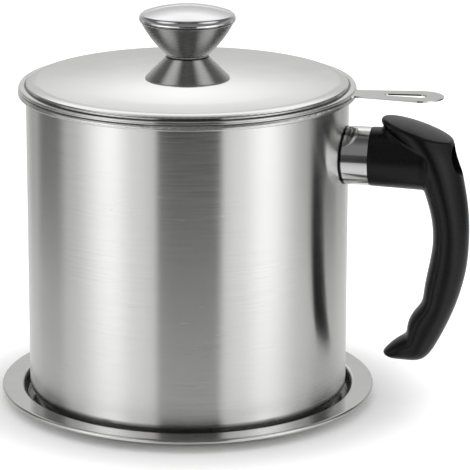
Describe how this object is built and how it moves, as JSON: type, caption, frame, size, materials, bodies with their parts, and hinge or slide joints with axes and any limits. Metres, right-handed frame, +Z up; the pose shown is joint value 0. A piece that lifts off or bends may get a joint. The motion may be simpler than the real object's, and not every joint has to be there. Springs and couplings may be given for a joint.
{
  "type": "grease container",
  "caption": "Round steel grease pot with a side handle and rolled rim, standing in a drip tray, with a lift-out slotted-tab strainer and a knobbed lid.",
  "frame": {"origin": "centre of the drip tray's underside, on the pot's axis, at the surface it stands on", "axes": "+Z up along the pot's axis, +X from the pot towards the handle"},
  "size_m": [0.1842, 0.147, 0.1561],
  "materials": {
    "brushed_steel": "brushed round the pot",
    "satin_steel": "satin",
    "lid_steel": "fine circular satin",
    "knob_steel": "turned, satin",
    "polished_steel": "mirror polished",
    "plain_steel": "plain bright zinc",
    "wire_mesh": "fine woven wire",
    "black_plastic": "satin black moulding"
  },
  "bodies": {
    "tray": {"drip_tray": "satin_steel"},
    "pot": {"pot_shell": "brushed_steel", "handle_bracket": "plain_steel", "handle_nut": "plain_steel", "handle_ferrule": "polished_steel", "handle_grip": "black_plastic", "handle_screw": "plain_steel", "handle_washer": "plain_steel", "handle_lock_washer": "plain_steel"},
    "strainer": {"strainer_bowl": "satin_steel", "strainer_mesh": "wire_mesh", "mesh_ring": "satin_steel"},
    "lid": {"lid_shell": "lid_steel", "knob_base": "knob_steel", "knob_body": "knob_steel", "knob_cap": "polished_steel", "knob_insert": "plain_steel", "knob_screw": "plain_steel", "knob_washer": "plain_steel", "knob_lock_washer": "plain_steel"}
  },
  "joints": [
    {"name": "pot_lift", "type": "slide", "parent": "tray", "child": "pot", "axis": [0, 0, 1], "range_m": [0, 0.04]},
    {"name": "strainer_lift", "type": "slide", "parent": "pot", "child": "strainer", "axis": [0, 0, 1], "range_m": [0, 0.06]},
    {"name": "lid_lift", "type": "slide", "parent": "strainer", "child": "lid", "axis": [0, 0, 1], "range_m": [0, 0.06]}
  ]
}
